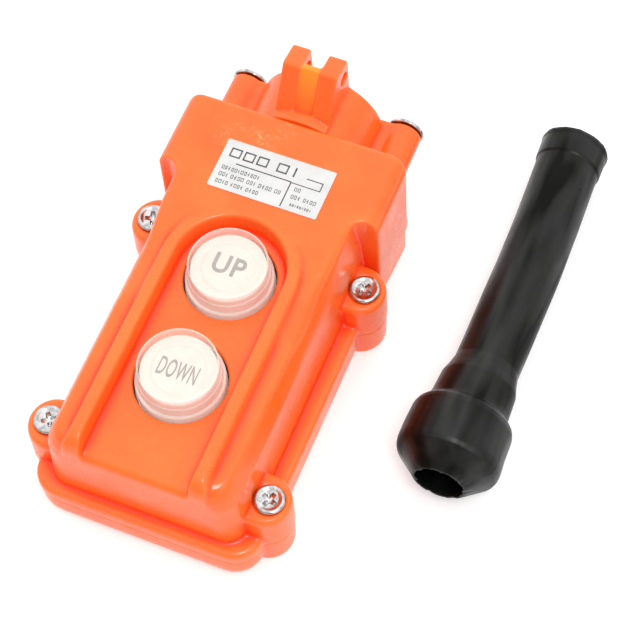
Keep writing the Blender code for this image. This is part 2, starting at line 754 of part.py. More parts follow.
def screw(name, place, along, head_radius, head_height, shank_radius, length, material, sides=16):
    """A domed cross-head screw; its place is the middle of the head's top."""
    side = head_height * 0.45
    solid = turned([
        (0.0, -length),
        (shank_radius * 0.6, -length),
        (shank_radius, -length + shank_radius * 0.8),
        (shank_radius, -head_height),
        (head_radius, -head_height),
        (head_radius, -side),
        (head_radius * 0.9, -side * 0.45),
        (head_radius * 0.66, -side * 0.1),
        (0.0, 0.0),
    ], sides)
    obj = make_object(name, moved(solid, place, along), material)
    cross = cross_recess(head_radius * 0.56, head_radius * 0.13, head_height * 0.6, 0.0)
    cut(obj, moved(cross, place, along), "cross")
    return obj


def case_screws(material):
    seat = EAR_Z - SPOT_FACE_DEPTH + GAP
    for name, x, y in ear_places():
        screw(
            f"case_screw_{name}", (x, y, SCREW_HEAD_TOP_Z), "Z", CASE_SCREW_HEAD,
            SCREW_HEAD_TOP_Z - seat, CASE_SCREW_SHANK, SCREW_HEAD_TOP_Z - CASE_SCREW_TIP_Z, material, 24,
        )


def gland_screws(material):
    head = 1.4 * MM
    top_y = POST_END_Y + GAP + head
    for name, side in (("left", -1), ("right", 1)):
        screw(
            f"gland_screw_{name}", (side * POST_X, top_y, POST_Z), "Y", POST_SCREW_HEAD,
            head, POST_SCREW_SHANK, top_y - POST_SCREW_TIP_Y, material, 24,
        )


# Label

def rating_label(material):
    low_z = HEAD_Z + LABEL_GLUE
    outline = rounded([
        (LABEL_X + LABEL_SIZE[0] / 2, LABEL_Y - LABEL_SIZE[1] / 2, 0.4 * MM),
        (LABEL_X + LABEL_SIZE[0] / 2, LABEL_Y + LABEL_SIZE[1] / 2, 0.4 * MM),
        (LABEL_X - LABEL_SIZE[0] / 2, LABEL_Y + LABEL_SIZE[1] / 2, 0.4 * MM),
        (LABEL_X - LABEL_SIZE[0] / 2, LABEL_Y - LABEL_SIZE[1] / 2, 0.4 * MM),
    ], 2)
    make_object("rating_label", prism(outline, low_z, low_z + LABEL_THICKNESS), material)


# Buttons and switches

def button_cap(name, y, material):
    inside_top = DISC_TOP_Z + GAP
    profile = [
        (0.0, CAP_TOP_Z),
        (CAP_TOP - 0.6 * MM, CAP_TOP_Z),
        (CAP_TOP - 0.15 * MM, CAP_TOP_Z - 0.2 * MM),
        (CAP_TOP, CAP_TOP_Z - 0.7 * MM),
        (CAP_NECK, CAP_STEP_Z + 0.5 * MM),
        (CAP_FOOT - 0.2 * MM, CAP_STEP_Z),
        (CAP_FOOT, CAP_STEP_Z - 0.4 * MM),
        (CAP_FOOT, CAP_SKIRT_Z),
        (CAP_BORE, CAP_SKIRT_Z),
        (CAP_BORE, inside_top),
        (0.0, inside_top),
    ]
    make_object(f"button_cap_{name}", moved(turned(profile, 40), (0, y, 0)), material)


def legend_disc(name, y, material):
    """A round plate with a slightly lower rim band around its lettered middle."""
    low = DISC_TOP_Z - DISC_THICKNESS
    profile = [
        (0.0, low),
        (DISC_RADIUS, low),
        (DISC_RADIUS, DISC_TOP_Z - 0.15 * MM),
        (7.6 * MM, DISC_TOP_Z - 0.15 * MM),
        (7.0 * MM, DISC_TOP_Z),
        (0.0, DISC_TOP_Z),
    ]
    make_object(f"legend_disc_{name}", moved(turned(profile, 36), (0, y, 0)), material)


def button_plunger(name, y, material):
    flange_low, flange_high = PLUNGER_FLANGE_Z
    crown = DISC_TOP_Z - DISC_THICKNESS - GAP
    stem_low = BRIDGE_Z[1] + GAP
    profile = [
        (0.0, BRIDGE_Z[0] - 1.2 * MM),
        (1.0 * MM, BRIDGE_Z[0] - 1.2 * MM),
        (1.0 * MM, stem_low),
        (PLUNGER_STEM, stem_low),
        (PLUNGER_STEM, flange_low + 1.2 * MM),
        (4.4 * MM, flange_low + 1.2 * MM),
        (4.4 * MM, flange_low),
        (PLUNGER_FLANGE, flange_low),
        (PLUNGER_FLANGE, flange_high),
        (PLUNGER_RADIUS, flange_high),
        (PLUNGER_RADIUS, crown),
        (0.0, crown),
    ]
    make_object(f"button_plunger_{name}", moved(turned(profile, 28), (0, y, 0)), material)


def button_seal(name, y, material):
    low, high = SEAL_Z
    profile = [(SEAL_BORE, low), (PLUNGER_FLANGE, low), (PLUNGER_FLANGE, high), (SEAL_BORE, high)]
    make_object(f"button_seal_{name}", moved(turned(profile, 28, ring=True), (0, y, 0)), material)


def return_spring(name, y, material):
    """A coil between the switch block and the plunger."""
    low = BLOCK_Z[1] + GAP + SPRING_WIRE
    high = PLUNGER_FLANGE_Z[0] - GAP - SPRING_WIRE
    per_turn = 14
    count = SPRING_TURNS * per_turn
    curve = bpy.data.curves.new(f"return_spring_{name}", "CURVE")
    curve.dimensions = "3D"
    curve.bevel_depth = SPRING_WIRE
    curve.bevel_resolution = 0
    curve.use_fill_caps = True
    spline = curve.splines.new("POLY")
    spline.points.add(count)
    for index in range(count + 1):
        angle = math.tau * index / per_turn
        height = low + (high - low) * index / count
        place = (SPRING_RADIUS * math.cos(angle), y + SPRING_RADIUS * math.sin(angle), height, 1.0)
        spline.points[index].co = place
    curve.materials.append(material)
    obj = bpy.data.objects.new(f"return_spring_{name}", curve)
    bpy.context.scene.collection.objects.link(obj)


def contact_bridge(name, y, material):
    """The bar that the plunger carries, with a contact tip under each end."""
    low, high = BRIDGE_Z
    outline = rounded([
        (8.8 * MM, -2.4 * MM, 1.0 * MM),
        (8.8 * MM, 2.4 * MM, 1.0 * MM),
        (-8.8 * MM, 2.4 * MM, 1.0 * MM),
        (-8.8 * MM, -2.4 * MM, 1.0 * MM),
    ], 3)
    obj = make_object(f"contact_bridge_{name}", moved(prism(outline, low, high), (0, y, 0)), material)
    for side in (-1, 1):
        tip = prism(circle(1.4 * MM, 14, (side * TIP_X, y)), low - 0.6 * MM, low + 0.3 * MM)
        add(obj, tip, f"tip_{side}")
    pin_hole = prism(circle(1.0 * MM + GAP, 14, (0.0, y)), low - 1 * MM, high + 1 * MM)
    cut(obj, pin_hole, "pin_hole")


def contact_block(name, y, material):
    """The insulating base, with a slot for the bridge and a shelf each side for its terminal."""
    low, high = BLOCK_Z
    shelf = box((-SHELF_HALF_X, y - 6.0 * MM, low), (SHELF_HALF_X, y + 6.0 * MM, BLOCK_SHELF_Z))
    obj = make_object(f"contact_block_{name}", shelf, material)
    body = rectangle(BLOCK_HALF_X, y - BLOCK_HALF_Y, y + BLOCK_HALF_Y, 1.5 * MM, 1.5 * MM, 3)
    add(obj, prism(body, low, high), "body")
    slot = (
        (-BRIDGE_SLOT_HALF_X, y - BRIDGE_SLOT_HALF_Y, BLOCK_SHELF_Z),
        (BRIDGE_SLOT_HALF_X, y + BRIDGE_SLOT_HALF_Y, high + 1 * MM),
    )
    cut(obj, box(*slot), "bridge_slot")
    strip_way = (
        (-SHELF_HALF_X, y - 3.1 * MM, BLOCK_SHELF_Z),
        (SHELF_HALF_X, y + 3.1 * MM, TERMINAL_Z[1] + GAP),
    )
    cut(obj, box(*strip_way), "strip_way")
    for side in (-1, 1):
        hole = prism(circle(1.2 * MM + GAP, 12, (side * TERMINAL_SCREW_X, y)), 7.0 * MM, 13.0 * MM)
        cut(obj, hole, f"terminal_hole_{side}")
        screw_y = y + side * BLOCK_SCREW_Y
        through = prism(circle(1.3 * MM + GAP, 12, (0.0, screw_y)), low - 1 * MM, high + 1 * MM)
        cut(obj, through, f"fixing_hole_{side}")
        sink = prism(circle(2.6 * MM + GAP, 16, (0.0, screw_y)), high - 3.0 * MM, high + 1 * MM)
        cut(obj, sink, f"fixing_sink_{side}")


def terminal(name, side_name, side, y, material):
    """A brass strip from the fixed contact out to its clamping screw."""
    low, high = TERMINAL_Z
    outline = rounded([
        (side * 5.4 * MM, y - 2.7 * MM, 0.8 * MM),
        (side * 19.6 * MM, y - 2.7 * MM, 0.8 * MM),
        (side * 19.6 * MM, y + 2.7 * MM, 0.8 * MM),
        (side * 5.4 * MM, y + 2.7 * MM, 0.8 * MM),
    ], 2)
    obj = make_object(f"terminal_{name}_{side_name}", prism(outline, low, high), material)
    tip = prism(circle(1.4 * MM, 14, (side * TIP_X, y)), low + 0.3 * MM, FIXED_TIP_Z)
    add(obj, tip, "tip")
    hole = prism(circle(1.2 * MM + GAP, 14, (side * TERMINAL_SCREW_X, y)), low - 1 * MM, high + 1 * MM)
    cut(obj, hole, "screw_hole")


def switch_screws(name, y, brass, steel):
    for side_name, side in (("left", -1), ("right", 1)):
        top = TERMINAL_Z[1] + GAP + 1.7 * MM
        screw(
            f"terminal_screw_{name}_{side_name}", (side * TERMINAL_SCREW_X, y, top), "Z",
            2.5 * MM, 1.7 * MM, 1.2 * MM, top - 7.8 * MM, brass,
        )
    for end_name, side in (("lower", -1), ("upper", 1)):
        top = BLOCK_Z[1] - 0.8 * MM
        screw(
            f"block_screw_{name}_{end_name}", (0.0, y + side * BLOCK_SCREW_Y, top), "Z",
            2.6 * MM, 1.9 * MM, 1.3 * MM, top - 2.6 * MM, steel,
        )


# Boot

def boot_matrix():
    """Lays the boot on the floor: the bulb and the beaded end both touch it."""
    bulb_at, bulb_radius = BOOT_PROFILE[BOOT_BULB]
    end_at, end_radius = BOOT_PROFILE[-1]
    tilt = math.asin((bulb_radius - end_radius) / (end_at - bulb_at))
    mouth_z = bulb_radius / math.cos(tilt) + bulb_at * math.tan(tilt)
    turn = Matrix.Rotation(math.radians(-BOOT_HEADING), 4, "Z")
    turn = turn @ Matrix.Rotation(math.radians(-90) - tilt, 4, "X")
    return Matrix.Translation((*BOOT_MOUTH, mouth_z + 0.02 * MM)) @ turn


def boot_offset(along):
    """The sideways bend at a distance along the boot."""
    for (start, shift), (end, next_shift) in zip(BOOT_BEND, BOOT_BEND[1:]):
        if along <= end:
            share = (along - start) / (end - start)
            return shift + (next_shift - shift) * share
    return BOOT_BEND[-1][1]


def cable_boot(material):
    low_waist, high_waist = BOOT_WAIST
    profile = [(radius, height) for height, radius in BOOT_PROFILE]
    profile += [
        (BOOT_BORE, BOOT_LENGTH),
        (BOOT_BORE, 90.0 * MM),
        (BOOT_BORE, 55.0 * MM),
        (BOOT_BORE, high_waist + 3 * MM),
        (BOOT_BULB_BORE, high_waist - 1 * MM),
        (BOOT_BULB_BORE, low_waist),
        (BOOT_BORE, 1.5 * MM),
        (BOOT_BORE, 0.0),
    ]
    solid = turned(profile, 36, ring=True)
    for vertex in solid.verts:
        vertex.co.x += boot_offset(vertex.co.z)
    bmesh.ops.transform(solid, matrix=boot_matrix(), verts=solid.verts)
    make_object("cable_boot", solid, material)


def main():
    clear_scene()
    orange = make_material("orange_plastic", (0.95, 0.13, 0.02), 0.3)
    black_rubber = make_material("black_rubber", (0.02, 0.02, 0.02), 0.45)
    seal_rubber = make_material("seal_rubber", (0.04, 0.04, 0.045), 0.6)
    chrome = make_material("chrome_plate", (0.85, 0.86, 0.87), 0.12, 1.0)
    label_film = make_material("label_film", (0.88, 0.88, 0.87), 0.35)
    clear = make_material("clear_plastic", (0.95, 0.95, 0.95), 0.05, 0.0, 1.0)
    white = make_material("white_plastic", (0.93, 0.91, 0.86), 0.4)
    moulding = make_material("black_moulding", (0.03, 0.03, 0.03), 0.5)
    brass = make_material("brass", (0.78, 0.57, 0.22), 0.3, 1.0)
    steel = make_material("spring_steel", (0.6, 0.6, 0.62), 0.3, 1.0)

    front_cover(orange)
    rear_cover(orange)
    case_gasket(seal_rubber)
    gland_head(orange)
    case_screws(chrome)
    gland_screws(chrome)
    rating_label(label_film)
    for name, y in BUTTON_YS.items():
        button_cap(name, y, clear)
        legend_disc(name, y, white)
        button_plunger(name, y, white)
        button_seal(name, y, seal_rubber)
        return_spring(name, y, steel)
        contact_bridge(name, y, brass)
        contact_block(name, y, moulding)
        for side_name, side in (("left", -1), ("right", 1)):
            terminal(name, side_name, side, y, brass)
        switch_screws(name, y, brass, steel)
    cable_boot(black_rubber)


main()
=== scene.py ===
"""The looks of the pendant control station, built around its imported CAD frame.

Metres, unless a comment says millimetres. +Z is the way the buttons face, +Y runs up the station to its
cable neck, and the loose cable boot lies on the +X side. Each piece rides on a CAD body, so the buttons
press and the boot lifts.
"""
import json
import math

import bmesh
import bpy
import numpy as np
from mathutils import Matrix, Vector


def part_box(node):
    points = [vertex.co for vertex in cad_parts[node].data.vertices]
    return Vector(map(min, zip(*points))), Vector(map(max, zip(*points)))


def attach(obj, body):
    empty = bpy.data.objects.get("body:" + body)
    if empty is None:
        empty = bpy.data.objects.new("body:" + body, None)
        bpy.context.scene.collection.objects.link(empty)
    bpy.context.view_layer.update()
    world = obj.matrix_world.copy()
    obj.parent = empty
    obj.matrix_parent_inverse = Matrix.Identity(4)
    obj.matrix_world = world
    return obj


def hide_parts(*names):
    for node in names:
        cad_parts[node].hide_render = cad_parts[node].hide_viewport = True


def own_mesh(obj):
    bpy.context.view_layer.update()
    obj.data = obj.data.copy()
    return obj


MM = 0.001
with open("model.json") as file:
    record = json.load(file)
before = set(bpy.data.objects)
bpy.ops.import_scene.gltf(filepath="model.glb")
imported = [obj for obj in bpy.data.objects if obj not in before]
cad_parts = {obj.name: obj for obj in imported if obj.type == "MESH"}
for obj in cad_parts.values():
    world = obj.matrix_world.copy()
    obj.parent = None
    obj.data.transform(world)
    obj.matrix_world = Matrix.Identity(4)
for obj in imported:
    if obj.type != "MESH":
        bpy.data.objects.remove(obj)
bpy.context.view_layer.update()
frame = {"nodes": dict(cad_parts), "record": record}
nodes = frame["nodes"]

# Camera
CAMERA_AT = Vector((0.15441, -0.24683, 0.56481))
CAMERA_AIM = Vector((0.02475, 0.01512, 0.025))
CAMERA_ROLL = -4.65  # degrees
CAMERA_LENS = 120.5  # millimetres, as is the sensor's width
CAMERA_SENSOR = 36.0

# Moulded shells: the grid they are remeshed on, and how many times their points are relaxed
SHELL_GRID = 0.4 * MM
GLAND_GRID = 0.25 * MM
WELD = 0.001 * MM
RELAX_SHARE = 0.5
SHELL_RELAX = 6
BROW_RELAX = 120
CREASE_RELAX = 60  # gives the broad surface that creases and ridges are measured from
CREASE_DEPTH = 0.45 * MM  # a full crease lies this far under it
FLAT_CREASE = 0.12  # a surface with less of a crease than this is flat, and is relaxed again
FLAT_RELAX = 40

# Plated screws, in millimetres
CASE_SCREW_HEAD = 4.5
GLAND_SCREW_HEAD = 5.6
SCREW_HEAD_HEIGHT = 1.4
SCREW_SHANK = 1.9
SCREW_TIP = 0.8
CROSS_TOP = -0.35
CROSS_DEPTH = 1.3
CROSS_REACH = 0.6  # half its length, as a share of the head's radius
CROSS_WIDTH = 0.15  # half its width, as the same share

# Printing
PRINT_THICKNESS = 0.02 * MM

# Clear caps and the plates under them, in millimetres
CAP_TOP_RADIUS = 11.4
CAP_STEP_RADIUS = 11.95
CAP_FOOT_RADIUS = 12.7
CAP_BORE = 10.9
CAP_TOP_THICKNESS = 2.8
# Past these radii the cap's wall and foot ring get a painted sheen, a peach veil that stands for reflected
# light.
WALL_SHEEN_FROM = 10.7  # past this radius the cap is seen through its wall
FOOT_SHEEN_FROM = 12.1
SHEEN_FADE = 0.4
PLATE_RADIUS = 10.75
PLATE_RAISED_RADIUS = 7.3
PLATE_LIFT = 0.25
PLATE_STEP = 0.3

# Return springs
SPRING_WIRE = 0.45 * MM
SPRING_TURNS = 7
SPRING_END_TURN = 0.9  # the stretch at each end that is wound flat
SPRING_STEPS = 40  # rings of points in a turn
SPRING_SIDES = 12

# Cable boot, as the CAD has it: distance along it and outer radius, in millimetres
BOOT_PROFILE = [
    (0.0, 7.9), (6.2, 14.6), (7.5, 15.2), (9.0, 15.4), (19.8, 15.0), (21.4, 14.5), (22.8, 13.3),
    (23.8, 12.1), (25.5, 11.8), (33.0, 11.4), (36.0, 10.5), (39.5, 9.7), (75.0, 9.7), (113.4, 9.65),
    (114.0, 10.1), (120.4, 10.2), (121.0, 10.5), (122.2, 10.4),
]
BOOT_WIDEST = 3  # the point of the profile where the bulb touches the floor
# Distance along it, and how far its middle strays to the side, in millimetres
BOOT_BEND = [
    (0.0, 0.0), (14.0, -0.5), (30.0, -0.1), (48.0, 0.2), (75.0, 0.5), (94.0, 0.3), (112.0, -0.3),
    (124.0, -0.4),
]
BOOT_BORE = 7.3
BOOT_BULB_BORE = 10.5
BOOT_MOUTH = (73.15 * MM, -16.5 * MM)
BOOT_HEADING = -0.53  # degrees
BOOT_LIFT = 0.02  # its clearance over the floor
MOULD_LINE_AT = 1.2  # radians
MOULD_LINE_HEIGHT = 0.07
MOULD_LINE_WIDTH = 0.25
LIP_FLASH = 1.5  # how far the flash reaches, as a multiple of its ripple
RIM_FLASH = 0.5
RIM_TRIM = 0.15

# Stage
FLOOR_GLOW = 0.45
FLOOR_SHADE = (0.6, 0.6, 0.6)
FLOOR_REACH = 3.0
FLOOR_DROP = 0.15 * MM


# Materials

class Surface:
    """One Principled material and short ways to add nodes to it."""

    def __init__(self, name, colour, roughness, **sockets):
        self.material = bpy.data.materials.new(name)
        self.material.use_nodes = True
        self.tree = self.material.node_tree
        self.shader = self.tree.nodes["Principled BSDF"]
        self.shader.inputs["Base Color"].default_value = (*colour, 1.0)
        self.shader.inputs["Roughness"].default_value = roughness
        for socket, value in sockets.items():
            self.shader.inputs[socket.replace("_", " ")].default_value = value
        self.place = self.add("ShaderNodeTexCoord").outputs["Object"]

    def add(self, kind, **settings):
        node = self.tree.nodes.new(kind)
        for name, value in settings.items():
            setattr(node, name, value)
        return node

    def set(self, socket, value):
        """Joins an output to an input of the material's shader."""
        self.tree.links.new(value, self.shader.inputs[socket])

    def stretched(self, x=1.0, y=1.0, z=1.0):
        """The object's own coordinates, drawn out along an axis."""
        mapping = self.add("ShaderNodeMapping")
        mapping.inputs["Scale"].default_value = (x, y, z)
        self.tree.links.new(self.place, mapping.inputs["Vector"])
        return mapping.outputs["Vector"]

    def noise(self, size, detail=3.0, roughness=0.5, place=None, distortion=0.0):
        """Noise from 0 to 1 whose blotches are about this size."""
        node = self.add("ShaderNodeTexNoise")
        node.inputs["Scale"].default_value = 1 / size
        node.inputs["Detail"].default_value = detail
        node.inputs["Roughness"].default_value = roughness
        node.inputs["Distortion"].default_value = distortion
        self.tree.links.new(place or self.place, node.inputs["Vector"])
        return node.outputs["Fac"]

    def attribute(self, name):
        return self.add("ShaderNodeAttribute", attribute_name=name).outputs["Fac"]

    def span(self, value, low, high, to_low=0.0, to_high=1.0):
        """The value's stretch from low to high, spread over a new stretch."""
        node = self.add("ShaderNodeMapRange")
        ends = {"From Min": low, "From Max": high, "To Min": to_low, "To Max": to_high}
        for socket, number in ends.items():
            node.inputs[socket].default_value = number
        self.tree.links.new(value, node.inputs["Value"])
        return node.outputs["Result"]

    def maths(self, operation, first, second):
        node = self.add("ShaderNodeMath", operation=operation)
        for socket, value in zip(node.inputs, (first, second)):
            if isinstance(value, (int, float)):
                socket.default_value = value
            else:
                self.tree.links.new(value, socket)
        return node.outputs["Value"]

    def mix(self, factor, first, second):
        """A colour between two, each a colour or another output."""
        node = self.add("ShaderNodeMix", data_type="RGBA")
        self.tree.links.new(factor, node.inputs["Factor"])
        for socket, value in (("A", first), ("B", second)):
            place = [s for s in node.inputs if s.name == socket and s.type == "RGBA"][0]
            if isinstance(value, tuple):
                place.default_value = (*value, 1.0)
            else:
                self.tree.links.new(value, place)
        return [s for s in node.outputs if s.type == "RGBA"][0]

    def bump(self, height, depth, strength=1.0, under=None):
        node = self.add("ShaderNodeBump")
        node.inputs["Strength"].default_value = strength
        node.inputs["Distance"].default_value = depth
        self.tree.links.new(height, node.inputs["Height"])
        if under:
            self.tree.links.new(under, node.inputs["Normal"])
        return node.outputs["Normal"]


def ball_mask(surface, centre, radius, fade):
    """1 within a radius of a point and 0 past the fade."""
    node = surface.add("ShaderNodeVectorMath", operation="DISTANCE")
    surface.tree.links.new(surface.place, node.inputs[0])
    node.inputs[1].default_value = centre
    return surface.span(node.outputs["Value"], radius, radius + fade, 1.0, 0.0)


def orange_plastic():
    """Glossy moulded plastic: flow marks, painted shade in creases, painted highlights on ridges, a painted
    glow on the thin web between the lugs, and scuffs.
    """
    deep, full, speck = (0.97, 0.118, 0.011), (0.99, 0.15, 0.018), (0.97, 0.108, 0.009)
    # Of these colours, the red is painted shade for creases, the pale one a painted highlight for ridges and
    # the thin one a painted glow for the web between the lugs; the last is the colour of scuffs.
    crease_shade, pale, thin, scuffed = (0.98, 0.04, 0.004), (1.0, 0.19, 0.03), (1.0, 0.27, 0.012), (1.0, 0.42, 0.2)
    made = Surface("orange_plastic", full, 0.3, Specular_IOR_Level=0.45)
    blotches = made.span(made.noise(26 * MM, 3.0, 0.55, distortion=0.4), 0.36, 0.66)
    colour = made.mix(blotches, deep, full)
    mottle = made.span(made.noise(1.6 * MM, 2.0), 0.4, 0.75, 0.0, 0.3)
    colour = made.mix(mottle, colour, speck)
    crease = made.attribute("crease")
    # Painted shade: creases are mixed toward red. Painted highlight: ridges are mixed toward the paler
    # colour.
    colour = made.mix(made.span(crease, 0.05, 0.9, 0.0, 0.9), colour, crease_shade)
    colour = made.mix(made.span(crease, -0.15, -0.9, 0.0, 0.35), colour, pale)
    # Painted glow: the thin web between the lugs is made brighter and yellower, as if light shone through it.
    split = made.add("ShaderNodeSeparateXYZ")
    made.tree.links.new(made.place, split.inputs[0])
    off_middle = made.maths("ABSOLUTE", split.outputs["X"], 0.0)
    between_lugs = made.span(off_middle, 2.5 * MM, 3.1 * MM, 1.0, 0.0)
    near_lugs = ball_mask(made, (0.0, 73 * MM, 60 * MM), 2 * MM, 12 * MM)
    web_glow = made.maths("MULTIPLY", between_lugs, near_lugs)
    colour = made.mix(made.span(web_glow, 0.0, 1.0, 0.0, 0.95), colour, thin)
    flecks = made.span(made.noise(0.9 * MM, 4.0, 0.7, distortion=1.0), 0.54, 0.6)
    patch = made.maths("MULTIPLY", flecks, made.span(made.noise(7 * MM, 2.0), 0.44, 0.56))
    head = ball_mask(made, (-10 * MM, 53.5 * MM, 48 * MM), 5 * MM, 9 * MM)
    scuffs = made.maths("MULTIPLY", patch, head)
    colour = made.mix(made.span(scuffs, 0.0, 1.0, 0.0, 0.7), colour, scuffed)
    made.set("Base Color", colour)
    gloss = made.span(made.noise(9 * MM, 4.0, 0.6), 0.3, 0.7, 0.22, 0.34)
    made.set("Roughness", made.maths("ADD", gloss, made.span(scuffs, 0.0, 1.0, 0.0, 0.25)))
    made.set("Normal", made.bump(made.noise(14 * MM, 1.0), 0.12 * MM, 0.5))
    return made.material


def black_rubber():
    """Moulded rubber: satin streaks along it, faintly mottled, with fine scuffs and dust."""
    made = Surface("black_rubber", (0.004, 0.004, 0.004), 0.36, Specular_IOR_Level=0.22)
    blotches = made.span(made.noise(12 * MM, 4.0, 0.6), 0.35, 0.7)
    colour = made.mix(blotches, (0.002, 0.0025, 0.002), (0.006, 0.006, 0.005))
    streaks = made.noise(9 * MM, 2.0, 0.5, made.stretched(1.0, 0.18, 1.0), 0.2)
    made.set("Specular IOR Level", made.span(streaks, 0.38, 0.6, 0.06, 0.4))
    dust = made.noise(0.8 * MM, 5.0, 0.75, made.stretched(1.0, 0.4, 1.0))
    colour = made.mix(made.span(dust, 0.63, 0.74, 0.0, 0.35), colour, (0.06, 0.055, 0.05))
    made.set("Base Color", colour)
    wiped = made.noise(5 * MM, 5.0, 0.65, made.stretched(1.0, 0.5, 1.0))
    made.set("Roughness", made.span(wiped, 0.3, 0.7, 0.26, 0.46))
    coarse = made.bump(made.noise(7 * MM, 3.0), 0.12 * MM, 0.5)
    made.set("Normal", made.bump(made.noise(0.6 * MM, 3.0), 0.02 * MM, 0.7, coarse))
    return made.material


def metal(name, dark, light, roughness, grain, bump=0.01):
    """Plated or plain metal with a soft haze, fine scratches and a little unevenness."""
    made = Surface(name, light, roughness[0], Metallic=1.0)
    haze = made.span(made.noise(grain * 4, 4.0, 0.6), 0.3, 0.7)
    made.set("Base Color", made.mix(haze, dark, light))
    scratches = made.noise(grain, 5.0, 0.7, made.stretched(1.0, 0.15, 1.0))
    made.set("Roughness", made.span(scratches, 0.3, 0.7, *roughness))
    made.set("Normal", made.bump(made.noise(grain * 1.5, 3.0), bump * MM, 0.6))
    return made.material


def plain_moulding(name, dark, light, roughness, size, bump=0.015):
    """A moulded surface with faint changes of colour and gloss."""
    made = Surface(name, light, roughness[0])
    made.set("Base Color", made.mix(made.span(made.noise(size, 4.0, 0.6), 0.35, 0.65), dark, light))
    made.set("Roughness", made.span(made.noise(size * 0.6, 3.0), 0.3, 0.7, *roughness))
    made.set("Normal", made.bump(made.noise(size * 0.15, 3.0), bump * MM, 0.6))
    return made.material


def clear_plastic():
    """Clear moulded plastic: seen through at the top, with a painted peach sheen on its wall that stands for
    glancing light and the orange case it reflects.
    """
    made = Surface("clear_plastic", (1.0, 0.86, 0.78), 0.1, Specular_IOR_Level=0.5)
    edge_on = made.add("ShaderNodeLayerWeight")
    edge_on.inputs["Blend"].default_value = 0.5
    gloss = made.span(edge_on.outputs["Facing"], 0.1, 0.9, 0.0, 0.16)
    # Painted sheen: the wall is veiled in peach, standing for glancing light and the orange case it reflects.
    wall = made.span(made.attribute("wall"), 0.0, 1.0, 0.03, 0.42)
    haze = made.span(made.noise(4 * MM, 3.0), 0.35, 0.7, 0.0, 0.04)
    made.set("Alpha", made.maths("ADD", made.maths("ADD", wall, gloss), haze))
    made.set("Roughness", made.span(made.noise(2 * MM, 3.0), 0.4, 0.7, 0.05, 0.14))
    made.set("Normal", made.bump(made.noise(5 * MM, 2.0), 0.03 * MM, 0.4))
    lamps = made.add("ShaderNodeMixShader")
    made.tree.links.new(made.add("ShaderNodeLightPath").outputs["Is Shadow Ray"], lamps.inputs[0])
    made.tree.links.new(made.shader.outputs[0], lamps.inputs[1])
    made.tree.links.new(made.add("ShaderNodeBsdfTransparent").outputs[0], lamps.inputs[2])
    made.tree.links.new(lamps.outputs[0], made.tree.nodes["Material Output"].inputs["Surface"])
    return made.material


def printing(name, ink, paper):
    """Ink with small gaps and a little spread, as on a pad-printed part."""
    made = Surface(name, ink, 0.5)
    thin = made.span(made.noise(0.35 * MM, 3.0, 0.6), 0.5, 0.75, 0.0, 0.4)
    made.set("Base Color", made.mix(thin, ink, paper))
    made.set("Roughness", made.span(made.noise(1.0 * MM, 2.0), 0.3, 0.7, 0.4, 0.6))
    return made.material


MATERIALS = {
    "orange_plastic": orange_plastic(),
    "black_rubber": black_rubber(),
    "seal_rubber": plain_moulding(
        "seal_rubber", (0.02, 0.02, 0.02), (0.035, 0.035, 0.035), (0.5, 0.7), 4 * MM
    ),
    "chrome_plate": metal("chrome_plate", (0.3, 0.29, 0.29), (0.76, 0.75, 0.75), (0.08, 0.2), 0.6 * MM),
    "label_film": plain_moulding(
        "label_film", (0.57, 0.57, 0.56), (0.64, 0.64, 0.625), (0.3, 0.45), 6 * MM
    ),
    "clear_plastic": clear_plastic(),
    "white_plastic": plain_moulding(
        "white_plastic", (0.63, 0.60, 0.545), (0.67, 0.64, 0.58), (0.35, 0.5), 5 * MM
    ),
    "black_moulding": plain_moulding(
        "black_moulding", (0.02, 0.02, 0.022), (0.04, 0.04, 0.042), (0.4, 0.6), 3 * MM
    ),
    "brass": metal("brass", (0.62, 0.45, 0.17), (0.83, 0.65, 0.3), (0.22, 0.4), 0.6 * MM),
    "spring_steel": metal("spring_steel", (0.42, 0.42, 0.44), (0.62, 0.62, 0.63), (0.2, 0.38), 0.6 * MM),
}
LABEL_INK = printing("label_ink", (0.07, 0.07, 0.075), (0.6, 0.6, 0.6))
LEGEND_INK = printing("legend_ink", (0.27, 0.255, 0.245), (0.5, 0.49, 0.47))


# Pieces

def placed_on(obj, body, slot, *replaced, ink=None):
    """Gives a piece its slot's material or an ink and its body, and hides the CAD nodes it stands for."""
    obj.data.materials.clear()
    obj.data.materials.append(ink or MATERIALS[slot])
    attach(obj, body)
    if replaced:
        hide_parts(*replaced)


def new_object(name, mesh, sharp=None):
    data = bpy.data.meshes.new(name)
    mesh.to_mesh(data)
    mesh.free()
    data.shade_smooth()
    if sharp:
        data.set_sharp_from_angle(angle=math.radians(sharp))
    obj = bpy.data.objects.new(name, data)
    bpy.context.scene.collection.objects.link(obj)
    return obj


def applied(obj):
    """The object with its modifiers made part of its mesh."""
    graph = bpy.context.evaluated_depsgraph_get()
    made = bpy.data.meshes.new_from_object(obj.evaluated_get(graph))
    obj.modifiers.clear()
    old = obj.data
    obj.data = made
    bpy.data.meshes.remove(old)
    return obj


def positions(data):
    points = np.empty(len(data.vertices) * 3)
    data.vertices.foreach_get("co", points)
    return points.reshape(-1, 3)


def point_values(data, name, values):
    """Writes one number for each point, for a material to read."""
    data.attributes.new(name, "FLOAT", "POINT").data.foreach_set("value", values.astype(np.float32))


def relaxed(points, edges, passes, share):
    """Moves each point part way to the middle of its neighbours, again and again."""
    first, second = edges.T
    count = np.bincount(np.concatenate([first, second]), minlength=len(points))[:, None]
    for _ in range(passes):
        total = np.stack([
            np.bincount(first, points[second, axis], len(points))
            + np.bincount(second, points[first, axis], len(points))
            for axis in range(3)
        ], axis=1)
        points = points + share * (total / count - points)
    return points


